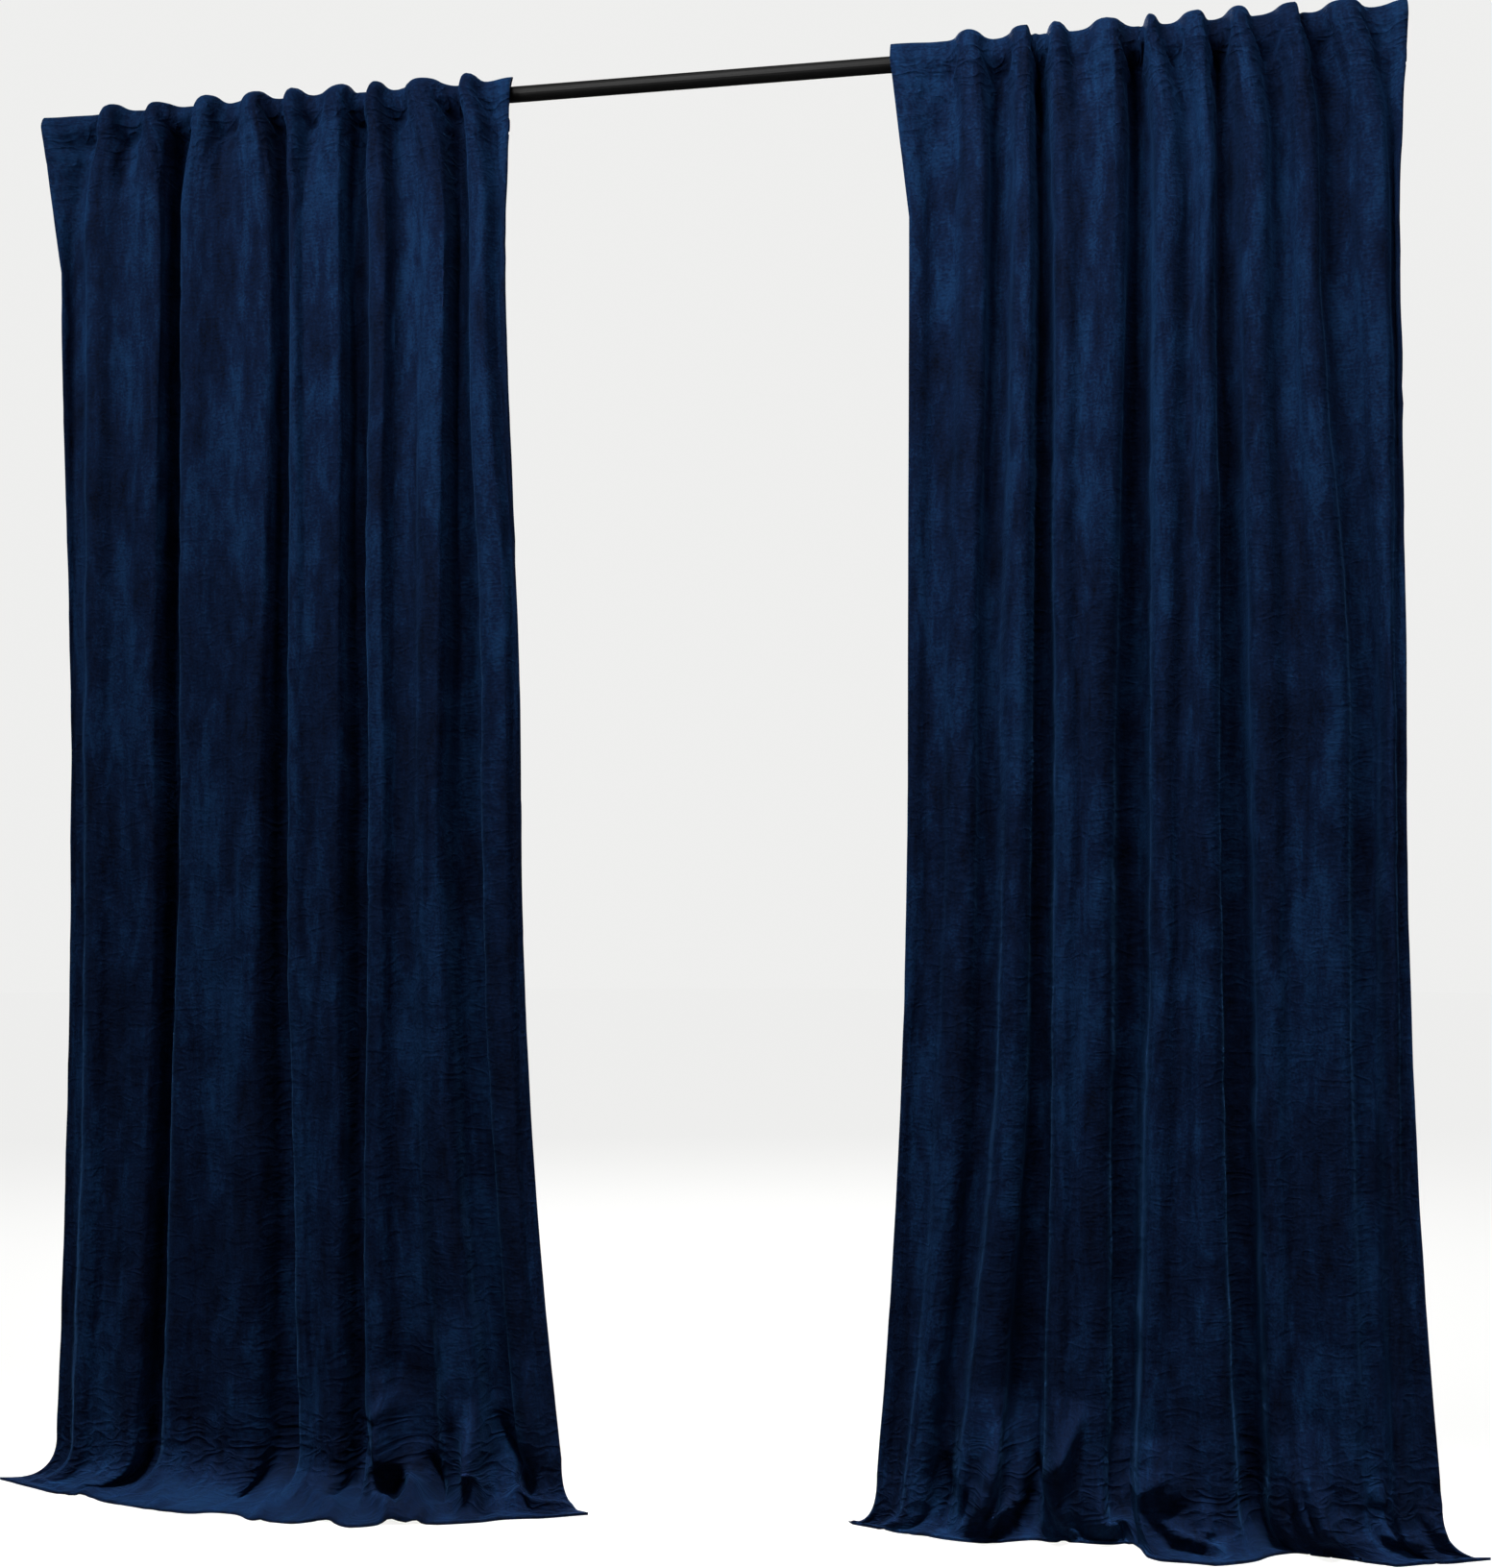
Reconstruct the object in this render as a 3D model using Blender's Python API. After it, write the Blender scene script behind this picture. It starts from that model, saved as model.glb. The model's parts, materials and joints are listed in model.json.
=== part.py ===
"""A pair of floor-length velvet curtain panels gathered on one straight curtain rod.

Metres, +Z up. The origin is the middle of the rod's axis, the rod runs along X, and the room is on
the -Y side. Each panel is one sheet of cloth with a sewn rod pocket along its top. The rod goes
through the pocket, the sheet hangs from it in uneven folds, and the last stretch of the sheet
turns forward and spreads on the floor.
"""

import math
from collections import namedtuple

import bmesh
import bpy
import numpy as np

MM = 0.001

# Rod: a plain steel tube with flat ends, drawn solid.
ROD_DIAMETER = 25 * MM
ROD_LENGTH = 2216 * MM
ROD_SIDES = 24
ROD_END_BEVEL = 1.2 * MM
ROD_HEIGHT = 2300 * MM  # axis above the floor

# Cloth.
SHEET = 2 * MM
POCKET_SEAM = 63 * MM  # depth of the seam under the rod's axis

# How the folds change on the way down.
GATHER_FADES_X = 180 * MM
GATHER_FADES_Y = 120 * MM
WAIST = 340 * MM  # depth under the rod's axis
FOOT = 2180 * MM  # depth at which the sheet starts to turn forward
DRIFT_POWER = 1.6
STEEP_AT = 85 * MM  # a flank this deep is as steep as the cloth takes
STEEPEST = 0.8
CLOTH_PER_COLUMN = 19 * MM
LEVELS_MM = (63, 100, 160, 260, 420, 680, 1000, 1340, 1650, 1900, 2070, 2180)

# The pocket over the rod, row by row from front to back. y, z: the row's place behind and above the
# rod's axis, in millimetres, where a valley of the gathers lies against the rod. y_move, z_move: how
# far it moves for each unit that the gathers bulge out in front. wall, wall_move: the cloth's
# thickness there. The heading's bunched cloth is thickest over the valleys.
PocketRow = namedtuple("PocketRow", "y z y_move z_move wall wall_move")

FRONT_WALL_DEPTHS_MM = (40, 15, 0)
FRONT_SHOULDER = PocketRow(-10.95, 10.95, -0.9, 0, 3, 0)
BACK_ROWS = (
    PocketRow(10.95, 10.95, 0.45, 0, 3, 0),
    PocketRow(15, 0, 0.6, 0, 2, 0),
    PocketRow(15, -18, 0.6, 0, 2, 0),
)
VALLEY_FRONT = 15 * MM  # middle of the sheet in front of the rod's axis at a valley
UNDER_HEADING = 13.5  # underside of the heading over a valley, in millimetres
HEADING_MOVE = {"y_move": -0.5, "z_move": 0.42, "wall_move": -0.16}
BACK_FOOT = 42 * MM  # depth of the last row before the seam
BACK_FOOT_SHARE = 0.42  # how far it has come forward towards the seam
CROOK_SHARE = 0.1  # where the pocket's two walls part, as a share of their lowest rows

# How the sheet lands: share of a quarter turn at each row, and how far crests stay lifted.
TURN = (0.17, 0.34, 0.52, 0.7, 0.86, 1.0)
CREST_LIFT = 14 * MM
HEM_FOLLOWS_FOLDS = 0.3
HEM_BY_WIDTH = 0.55  # the rest of the hem's spacing is by length of cloth

# One fold: a crest and the valley to its right. Each triple is at the head, the waist and the foot.
# crest, valley: distance along the rod from its middle. dip: how far the valley lies behind the
# crest. proud: how far the crest stands in front of the rod's axis. All in millimetres.
Fold = namedtuple("Fold", "crest valley dip proud")

# One panel: its folds and its right rim, the height of its heading over the rod's axis, and the
# (x, y) points of its hem's edge on the floor, left to right. All in millimetres.
Panel = namedtuple("Panel", "name folds rim heading hem")

LEFT_PANEL = Panel(
    name="curtain_left",
    folds=(
        Fold((-1111, -1062, -1092), (-1032, -1048, -1068), (4, 8, 14), 21),
        Fold((-984, -1017, -1036), (-962, -997, -1007), (24, 16, 24), 44),
        Fold((-911, -910, -918), (-857, -889, -902), (28, 72, 68), 44),
        Fold((-813, -839, -847), (-771, -794, -813), (27, 12, 7), 46),
        Fold((-719, -742, -756), (-700, -702, -682), (30, 78, 74), 48),
        Fold((-663, -656, -631), (-628, -645, -620), (30, 14, 7), 49),
        Fold((-573, -589, -585), (-550, -567, -558), (30, 74, 70), 47),
        Fold((-516, -524, -518), (-483, -494, -476), (30, 24, 38), 48),
        Fold((-442, -440, -432), (-401, -398, -348), (30, 76, 66), 48),
        Fold((-361, -335, -312), (-322, -312, -292), (31, 30, 38), 50),
    ),
    rim=Fold((-293, -293, -192), None, None, 24),
    heading=20,
    hem=(
        (-1179, -37), (-1060, -89), (-859, -144), (-640, -172),
        (-494, -175), (-364, -141), (-217, -83), (-144, -49),
    ),
)

RIGHT_PANEL = Panel(
    name="curtain_right",
    folds=(
        Fold((337, 375, 323), (424, 404, 349), (4, 10, 12), 22),
        Fold((456, 443, 382), (502, 490, 417), (30, 60, 46), 46),
        Fold((542, 531, 458), (566, 562, 535), (31, 80, 84), 49),
        Fold((593, 589, 577), (632, 619, 600), (32, 14, 8), 50),
        Fold((675, 653, 625), (710, 703, 677), (31, 88, 86), 48),
        Fold((732, 738, 717), (758, 765, 753), (32, 24, 10), 50),
        Fold((805, 796, 800), (836, 836, 870), (32, 80, 88), 49),
        Fold((867, 881, 901), (898, 924, 944), (32, 26, 14), 50),
        Fold((949, 974, 1007), (973, 1007, 1057), (32, 50, 28), 49),
        Fold((1026, 1063, 1089), (1066, 1086, 1128), (30, 32, 34), 46),
    ),
    rim=Fold((1117, 1097, 1158), None, None, 32),
    heading=26,
    hem=(
        (271, -19), (376, -60), (510, -82), (610, -45), (697, -45), (730, -106),
        (828, -118), (900, -82), (973, -42), (1090, -76), (1180, -45), (1232, -21),
    ),
)


def clear_scene():
    for obj in list(bpy.data.objects):
        bpy.data.objects.remove(obj, do_unlink=True)


def finish_material(name, color, roughness, metallic):
    material = bpy.data.materials.new(name)
    material.use_nodes = True
    shader = material.node_tree.nodes["Principled BSDF"]
    shader.inputs["Base Color"].default_value = (*color, 1.0)
    shader.inputs["Roughness"].default_value = roughness
    shader.inputs["Metallic"].default_value = metallic
    return material


def add_object(name, bm, material, smooth_under_deg):
    mesh = bpy.data.meshes.new(name)
    bm.to_mesh(mesh)
    bm.free()
    mesh.shade_smooth()
    mesh.set_sharp_from_angle(angle=math.radians(smooth_under_deg))
    mesh.materials.append(material)
    obj = bpy.data.objects.new(name, mesh)
    bpy.context.scene.collection.objects.link(obj)
    return obj


def make_rod(material):
    bm = bmesh.new()
    bmesh.ops.create_cone(
        bm,
        cap_ends=True,
        segments=ROD_SIDES,
        radius1=ROD_DIAMETER / 2,
        radius2=ROD_DIAMETER / 2,
        depth=ROD_LENGTH,
    )
    rims = [edge for edge in bm.edges if abs(edge.verts[0].co.z - edge.verts[1].co.z) < MM]
    bmesh.ops.bevel(bm, geom=rims, offset=ROD_END_BEVEL, segments=1, profile=0.5, affect="EDGES")
    rod = add_object("curtain_rod", bm, material, smooth_under_deg=30)
    rod.rotation_euler = (0, math.radians(90), 0)
    return rod


def knots_at(panel, level):
    """The rims, crests and valleys at one of the three tabled levels, left to right, as rows of x, y."""
    points = []
    for fold in panel.folds:
        points.append((fold.crest[level], -fold.proud))
        points.append((fold.valley[level], fold.dip[level] - fold.proud))
    points.append((panel.rim.crest[level], -panel.rim.proud))
    return np.array(points) * MM


class Gathers:
    """The folds of one panel, as the sheet's middle line at any depth under the rod's axis."""

    def __init__(self, panel):
        self.head, self.waist, self.foot = (knots_at(panel, level) for level in range(3))
        cloth = np.linalg.norm(np.diff(self.waist, axis=0), axis=1)
        self.steps = [max(2, round(length / CLOTH_PER_COLUMN)) for length in cloth]

    def knots(self, depth):
        below = max(depth, 0)
        settled = np.array([1 - math.exp(-below / GATHER_FADES_X), 1 - math.exp(-below / GATHER_FADES_Y)])
        drift = max(0, (depth - WAIST) / (FOOT - WAIST)) ** DRIFT_POWER
        return self.head + (self.waist - self.head) * settled + (self.foot - self.waist) * drift

    def line(self, depth):
        """Points of the sheet's middle line at this depth, one for each column, as rows of x, y."""
        knots = self.knots(depth)
        points = []
        for start, end, steps in zip(knots[:-1], knots[1:], self.steps):
            steep = min(STEEPEST, abs(end[1] - start[1]) / STEEP_AT)
            for step in range(steps):
                t = step / steps
                along = t + steep * math.sin(2 * math.pi * t) / (2 * math.pi)
                across = (1 - math.cos(math.pi * t)) / 2
                points.append(start + (end - start) * (along, across))
        points.append(knots[-1])
        return np.array(points)


def at_depth(line, depth):
    """The line's points in space."""
    return np.column_stack([line, np.full(len(line), -depth)])


def hem_line(foot, outline_mm):
    """Where each column ends on the floor."""
    outline = np.array(outline_mm) * MM
    along = np.concatenate([[0], np.cumsum(np.linalg.norm(np.diff(outline, axis=0), axis=1))])
    by_width = (foot[:, 0] - foot[0, 0]) / (foot[-1, 0] - foot[0, 0])
    cloth = np.concatenate([[0], np.cumsum(np.linalg.norm(np.diff(foot, axis=0), axis=1))])
    by_cloth = cloth / cloth[-1]
    place = (HEM_BY_WIDTH * by_width + (1 - HEM_BY_WIDTH) * by_cloth) * along[-1]
    x = np.interp(place, along, outline[:, 0])
    y = np.interp(place, along, outline[:, 1])
    inner = np.sin(math.pi * by_width)
    y = y + HEM_FOLLOWS_FOLDS * (foot[:, 1] - foot[:, 1].mean()) * inner
    return np.column_stack([x, y])


def landing(foot, outline_mm):
    """Rows of the sheet from its foot to its hem, which lies on the floor."""
    hem = hem_line(foot, outline_mm)
    floor = -ROD_HEIGHT + SHEET / 2
    height = -FOOT - floor
    crest = np.clip(-(foot[:, 1] - foot[:, 1].mean()) / np.ptp(foot[:, 1]), 0, 1)
    crest[[0, -1]] = 0
    rows = []
    for share in TURN:
        angle = share * math.pi / 2
        forward = 1 - math.cos(angle)
        drop = math.sin(angle)
        lift = CREST_LIFT * math.sin(math.pi * share) * crest
        z = floor + height * (1 - drop) + lift * (share < 1)
        rows.append(np.column_stack([foot + (hem - foot) * forward, z]))
    return rows


def surface_normals(grid):
    """Unit normals of a grid of points, rows by columns, towards the side where the rows' left is -X."""
    down = np.gradient(grid, axis=0)
    across = np.gradient(grid, axis=1)
    normals = np.cross(across, down)
    return normals / np.linalg.norm(normals, axis=2, keepdims=True)


def pocket_rows(gathers, heading_mm):
    """The pocket's middle surface, up in front of the rod, over it and down behind it to the seam.

    With each row comes the cloth's thickness there.
    """
    seam = at_depth(gathers.line(POCKET_SEAM), POCKET_SEAM)
    front = [at_depth(gathers.line(depth * MM), depth * MM) for depth in FRONT_WALL_DEPTHS_MM]
    x, y, _ = front[-1].T
    bulge = np.clip(-y - VALLEY_FRONT, 0, None)
    middle_of_heading = (UNDER_HEADING + heading_mm) / 2
    heading = PocketRow(y=0, z=middle_of_heading, wall=heading_mm - UNDER_HEADING, **HEADING_MOVE)

    middle = [seam, *front]
    walls = [np.full(len(x), SHEET) for _ in middle]
    for row in (FRONT_SHOULDER, heading, *BACK_ROWS):
        middle.append(np.column_stack([x, row.y * MM + row.y_move * bulge, row.z * MM + row.z_move * bulge]))
        walls.append(row.wall * MM + row.wall_move * bulge)
    back_foot = middle[-1] + BACK_FOOT_SHARE * (seam - middle[-1])
    back_foot[:, 2] = -BACK_FOOT
    middle += [back_foot, seam]
    walls += [np.full(len(x), SHEET)] * 2
    return np.array(middle), np.array(walls)[:, :, None]


def make_panel(panel, material):
    gathers = Gathers(panel)
    fall = [at_depth(gathers.line(level * MM), level * MM) for level in LEVELS_MM]
    fall += landing(gathers.line(FOOT), panel.hem)
    fall = np.array(fall)
    pocket, walls = pocket_rows(gathers, panel.heading)

    # Two skins of the hanging sheet, seam to hem.
    half = surface_normals(fall) * SHEET / 2
    front = fall - half
    back = fall + half

    # Two skins of the pocket, seam to seam, and the crook of the seam between its two walls.
    half = surface_normals(pocket) * walls / 2
    outside = pocket + half
    outside[0] = front[0]
    outside[-1] = back[0]
    inside = pocket - half
    crook = pocket[0] + CROOK_SHARE * (pocket[1] - pocket[0]) + CROOK_SHARE * (pocket[-2] - pocket[-1])

    bm = bmesh.new()

    def add_row(points):
        return [bm.verts.new(point) for point in points]

    def join(row, next_row):
        for column in range(len(row) - 1):
            bm.faces.new((row[column], row[column + 1], next_row[column + 1], next_row[column]))

    front_rows = [add_row(points) for points in front]
    back_rows = [add_row(points) for points in back]
    outside_rows = [front_rows[0]] + [add_row(points) for points in outside[1:-1]] + [back_rows[0]]
    crook_row = add_row(crook)
    inside_rows = [crook_row] + [add_row(points) for points in inside[1:-1]] + [crook_row]

    skin = front_rows[::-1] + outside_rows[1:-1] + back_rows
    for row, next_row in zip(skin[:-1], skin[1:]):
        join(row, next_row)
    join(back_rows[-1], front_rows[-1])
    for row, next_row in zip(inside_rows[:-1], inside_rows[1:]):
        join(next_row, row)

    def close_side(column):
        """Faces across the cut side of the cloth, in the first or the last column."""
        for rows, opposite in ((front_rows, back_rows), (outside_rows, inside_rows)):
            for k in range(len(rows) - 1):
                bm.faces.new([row[column] for row in (rows[k], rows[k + 1], opposite[k + 1], opposite[k])])
        bm.faces.new([row[column] for row in (front_rows[0], crook_row, back_rows[0])])

    close_side(0)
    close_side(-1)
    bmesh.ops.recalc_face_normals(bm, faces=bm.faces)
    return add_object(panel.name, bm, material, smooth_under_deg=60)


def main():
    clear_scene()
    black_steel = finish_material("black_steel", (0.012, 0.012, 0.013), roughness=0.32, metallic=0.9)
    left_velvet = finish_material("navy_velvet_left", (0.012, 0.035, 0.105), roughness=0.85, metallic=0.0)
    right_velvet = finish_material("navy_velvet_right", (0.012, 0.035, 0.105), roughness=0.85, metallic=0.0)
    make_rod(black_steel)
    make_panel(LEFT_PANEL, left_velvet)
    make_panel(RIGHT_PANEL, right_velvet)


main()
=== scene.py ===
import json
import math

import bmesh
import bpy
import numpy as np
from mathutils import Matrix, Vector, noise

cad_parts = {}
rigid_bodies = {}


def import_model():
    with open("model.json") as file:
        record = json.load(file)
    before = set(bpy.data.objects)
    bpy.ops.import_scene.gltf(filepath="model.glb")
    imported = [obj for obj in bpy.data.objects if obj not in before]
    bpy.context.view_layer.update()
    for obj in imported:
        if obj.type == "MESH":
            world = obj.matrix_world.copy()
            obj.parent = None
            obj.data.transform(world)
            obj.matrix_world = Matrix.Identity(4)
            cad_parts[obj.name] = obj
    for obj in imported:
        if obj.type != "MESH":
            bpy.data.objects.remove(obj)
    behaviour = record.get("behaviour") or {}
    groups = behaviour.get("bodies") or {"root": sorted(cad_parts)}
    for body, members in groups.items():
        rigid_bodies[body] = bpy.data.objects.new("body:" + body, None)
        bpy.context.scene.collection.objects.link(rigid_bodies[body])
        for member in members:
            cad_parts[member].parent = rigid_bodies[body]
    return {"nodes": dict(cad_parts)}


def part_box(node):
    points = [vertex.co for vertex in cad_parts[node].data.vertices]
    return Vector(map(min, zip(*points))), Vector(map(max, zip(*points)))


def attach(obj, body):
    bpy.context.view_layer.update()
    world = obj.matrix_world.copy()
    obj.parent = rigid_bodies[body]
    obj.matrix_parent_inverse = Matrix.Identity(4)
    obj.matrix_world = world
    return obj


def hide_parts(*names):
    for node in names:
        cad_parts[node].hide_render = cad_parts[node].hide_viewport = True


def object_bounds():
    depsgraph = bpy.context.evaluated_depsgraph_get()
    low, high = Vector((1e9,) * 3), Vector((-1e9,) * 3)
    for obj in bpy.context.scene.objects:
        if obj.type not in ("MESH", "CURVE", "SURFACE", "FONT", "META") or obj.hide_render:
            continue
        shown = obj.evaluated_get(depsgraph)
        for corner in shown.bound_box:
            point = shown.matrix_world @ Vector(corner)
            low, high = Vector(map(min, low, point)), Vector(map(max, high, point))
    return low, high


for startupObject in list(bpy.data.objects):
    bpy.data.objects.remove(startupObject, do_unlink=True)

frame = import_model()
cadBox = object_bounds()
rodLow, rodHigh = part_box("curtain_rod")
floorZ = cadBox[0].z
mm = 0.001
print("frame loaded, floor at", round(floorZ, 3))

# Both panels are cut and sewn alike. Lengths in millimetres; depth is measured down from the rod's axis.
cloth = {
    "flatWidth": 1320,
    "thickness": 2.0,
    "seamDepth": 63,        # stitched line under the rod pocket
    "flapEnd": 69,          # lower edge of the pocket's back wall
    "sideHem": 28,
    "bottomHem": 76,
    "layerGap": 0.1,        # between the cloth and a hem turned back on it
}

# Folds, left to right, each with four values: at the head, yoke, waist and foot. crest and valley:
# place along the rod. dip: how far the valley lies behind the crest. proud: crest before the rod's axis.
leftPanel = {
    "name": "leftPanel",
    "node": "curtain_left",
    "seed": 11,
    "folds": [
        ((-1113, -1076, -1058, -1083), (-1032, -1057, -1046, -1058), (2, 16, 3, 3), 18),
        ((-985, -999, -1006, -1034), (-944, -962, -975, -1000), (24, 8, 14, 14), 42),
        ((-907, -885, -898, -933), (-857, -876, -883, -908), (24, 56, 62, 60), 42),
        ((-812, -831, -838, -865), (-771, -786, -788, -818), (28, 7, 10, 8), 46),
        ((-719, -689, -714, -741), (-690, -668, -681, -666), (30, 38, 64, 72), 48),
        ((-658, -641, -640, -626), (-627, -631, -620, -610), (30, 14, 8, 8), 49),
        ((-572, -569, -572, -574), (-539, -557, -557, -545), (30, 54, 66, 70), 47),
        ((-514, -494, -497, -510), (-482, -477, -475, -461), (30, 30, 28, 40), 48),
        ((-435, -388, -402, -341), (-378, -379, -376, -303), (30, 56, 72, 66), 47),
        ((-356, -322, -282, -237), (-324, -304, -270, -218), (31, 34, 16, 14), 49),
    ],
    "rim": (-281, -290, -263, -199),
    # how wide each gather is in the heading: how much of the way to the next valley its left and right
    # sides take
    "gathers": [(1, 1), (0.55, 1), (0.45, 1), (0.55, 1), (1, 1), (0.45, 1), (1, 0.75), (0.45, 0.95),
                (1, 1), (0.45, 1)],
    "hollows": [22, 19, 24, 13, 23, 15, 22, 17, 21, 11],  # how far the cloth falls in beside each gather
    "backEnd": 15,          # the pocket's back wall ends this much before the front one, at its right
    "rimProud": 26,
    "heading": 20,          # top of the pocket over a valley, above the rod's axis
    "hem": [(-1179, -37), (-1060, -89), (-859, -144), (-640, -172),
            (-494, -175), (-364, -141), (-217, -83), (-144, -49)],
    "packing": [285, 455, 735, 970, 1310],  # depths of the marks left by its folding in the packet
    # Ridges, and troughs under 0, where the foot is crushed on the floor: a bent line, its height and
    # half width. Its points are places along the rod and lengths of cloth up from the hem.
    "footFolds": [
        ([(-490, 300), (-488, 230), (-482, 150), (-470, 96)], 30, 20),
        ([(-440, 190), (-436, 130), (-430, 60), (-424, -6)], 24, 18),
        ([(-336, 260), (-332, 180), (-326, 110), (-330, 30)], 30, 20),
        ([(-270, 160), (-262, 100), (-262, 30)], 20, 22),
        ([(-470, 268), (-484, 242), (-504, 226)], 12, 10),
        ([(-480, 262), (-484, 205), (-478, 150), (-474, 128)], 22, 14),
        ([(-526, 235), (-520, 180), (-508, 140)], -14, 9),
        ([(-512, 160), (-498, 115), (-480, 75), (-458, 40), (-432, -8)], 22, 9),
        ([(-486, 134), (-472, 102), (-452, 62)], -14, 13),
        ([(-466, 176), (-446, 125), (-426, 85), (-408, 10)], 28, 10),
        ([(-430, 165), (-398, 125), (-374, 78)], -20, 12),
        ([(-398, 80), (-392, 30), (-402, -10)], 12, 9),
        ([(-384, 330), (-376, 262), (-374, 205)], 7, 7),
        ([(-366, 98), (-356, 50), (-352, 6)], -12, 8),
        ([(-344, 232), (-336, 178), (-328, 104), (-326, 84)], 30, 12),
        ([(-328, 120), (-322, 60), (-332, 6)], 10, 12),
        ([(-326, 240), (-298, 176), (-252, 138), (-226, 86)], -24, 14),
        ([(-246, 330), (-240, 235), (-246, 150)], 10, 12),
        ([(-300, 60), (-230, 68), (-165, 66)], 9, 16),
        ([(-620, 130), (-578, 68), (-524, -4)], 16, 14),
        ([(-580, 150), (-545, 100), (-520, 52)], -12, 12),
        ([(-1030, 120), (-1000, 60), (-985, -8)], 8, 18),
        ([(-880, 130), (-850, 60), (-830, -8)], 9, 16),
        ([(-770, 140), (-740, 70), (-700, 0)], -9, 16),
        ([(-690, 120), (-665, 60), (-640, -8)], 12, 15),
        ([(-1130, 60), (-1080, 36), (-1010, 16)], 6, 12),
    ],
}
rightPanel = {
    "name": "rightPanel",
    "node": "curtain_right",
    "seed": 37,
    "folds": [
        ((337, 367, 365, 320), (423, 416, 396, 352), (6, 22, 14, 12), 24),
        ((458, 480, 455, 377), (502, 507, 491, 425), (30, 46, 44, 44), 44),
        ((549, 551, 538, 464), (566, 572, 574, 562), (31, 60, 80, 84), 49),
        ((592, 607, 607, 589), (627, 633, 628, 610), (32, 10, 10, 8), 50),
        ((671, 680, 648, 636), (717, 722, 720, 705), (31, 62, 86, 86), 48),
        ((735, 761, 754, 725), (761, 801, 786, 769), (32, 30, 20, 12), 50),
        ((805, 819, 809, 828), (835, 841, 868, 900), (32, 44, 76, 86), 49),
        ((867, 894, 906, 923), (900, 929, 946, 961), (32, 42, 24, 14), 50),
        ((950, 969, 999, 1020), (971, 1000, 1060, 1078), (32, 46, 50, 34), 49),
        ((1026, 1076, 1089, 1100), (1068, 1091, 1100, 1132), (30, 30, 16, 20), 46),
    ],
    "rim": (1113, 1099, 1110, 1158),
    "gathers": [(1, 1), (1, 1), (1, 0.4), (0.5, 0.75), (1, 1), (0.5, 0.85), (1, 0.75), (1, 0.75),
                (1, 0.4), (1, 1)],
    "hollows": [6, 20, 14, 7, 22, 14, 20, 9, 12, 8],
    "backEnd": 0,
    "rimProud": 34,
    "heading": 26,
    "hem": [(271, -19), (376, -60), (510, -82), (610, -45), (697, -45), (730, -106),
            (828, -118), (900, -82), (973, -42), (1090, -76), (1180, -45), (1232, -21)],
    "packing": [560, 640, 1260, 1590],
    "footFolds": [
        ([(520, 260), (518, 180), (505, 110), (490, 20)], 44, 24),
        ([(552, 230), (546, 150), (534, 90), (520, 10)], 30, 16),
        ([(606, 260), (600, 180), (600, 110), (610, 30)], 24, 18),
        ([(690, 190), (690, 120), (700, 60), (712, 0)], 30, 26),
        ([(740, 200), (752, 150), (762, 90)], 20, 20),
        ([(960, 230), (972, 150), (990, 80), (1000, 10)], 18, 22),
        ([(428, 160), (432, 95), (424, 20)], -16, 10),
        ([(446, 340), (445, 215), (446, 130), (456, 60)], 11, 10),
        ([(476, 200), (468, 118), (450, 44)], -18, 9),
        ([(510, 220), (500, 152), (484, 100), (460, 16)], 30, 9),
        ([(524, 176), (500, 92), (476, 28)], -18, 8),
        ([(552, 176), (536, 95), (514, 58), (506, 4)], 26, 9),
        ([(562, 146), (540, 76), (524, 14)], -13, 7),
        ([(560, 250), (564, 138), (582, 90), (600, 22)], -16, 9),
        ([(636, 250), (612, 186), (576, 134)], 24, 11),
        ([(582, 160), (592, 95), (610, 28)], 14, 9),
        ([(470, -4), (498, 44), (516, 72)], 8, 6),
        ([(508, -8), (534, 40), (556, 78)], 9, 7),
        ([(556, -6), (572, 44), (580, 78)], 8, 6),
        ([(600, -2), (628, 52)], 8, 7),
        ([(606, 74), (650, 30), (708, 0)], -14, 10),
        ([(660, 128), (668, 64), (706, 6)], 22, 11),
        ([(686, 90), (720, 122), (762, 150)], 9, 9),
        ([(676, 116), (712, 148), (750, 176)], -4, 9),
        ([(726, 90), (764, 38), (800, 20), (844, 6)], -15, 9),
        ([(738, 94), (774, 58), (804, 44), (844, 30)], 22, 9),
        ([(836, 122), (836, 58), (820, 36), (800, 46)], -9, 9),
        ([(818, 112), (820, 64), (804, 50)], 14, 8),
        ([(872, 290), (890, 150), (900, 66), (940, 40), (996, -6)], -12, 15),
        ([(928, 210), (950, 126), (978, 38)], 14, 8),
        ([(944, 172), (964, 114), (990, 48)], -10, 6),
        ([(948, 176), (975, 100), (1004, 22)], 14, 8),
        ([(978, 140), (998, 70), (1016, 16)], 12, 7),
        ([(1000, 152), (1014, 94)], -7, 7),
        ([(1034, 112), (1062, 126), (1088, 112)], 5, 9),
        ([(1050, 88), (1076, 54), (1104, 34)], -9, 7),
        ([(1070, 88), (1104, 44)], 9, 7),
        ([(1008, 54), (1095, 64), (1170, 52)], 8, 16),
        ([(1148, 156), (1194, 90)], -12, 10),
        ([(1126, 118), (1164, 62)], 8, 9),
        ([(330, 140), (345, 80), (340, -4)], 9, 20),
        ([(385, 130), (395, 70), (392, -6)], 8, 16),
    ],
}

# How the folds change on the way down, in millimetres.
hang = {
    "levels": (0, 250, 1100, 2180),  # depths of the fold tables: head, yoke, waist and foot
    "openAcross": 2.4,      # how soon the gathers open out under the head: across,
    "openOutwards": 3.0,    # and from front to back
    "gatherEnd": 130,       # depth where the narrow gathers have become whole folds
    "sway": 7,              # how far a fold strays from its straight course
    "swayLength": 420,
    "steepAt": 85,          # a flank this deep is as steep as it gets
    "steepest": 1.0,
    "columnWidth": 5.1,     # mesh spacing across the cloth
    "fewestColumns": 5,     # between a crest and a valley
    "rowStops": (250, 1950),  # depths where the spacing of the mesh's rows changes
    "rows": (33, 68, 38),   # above the first stop, between the two, and down to the turn
}


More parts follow.
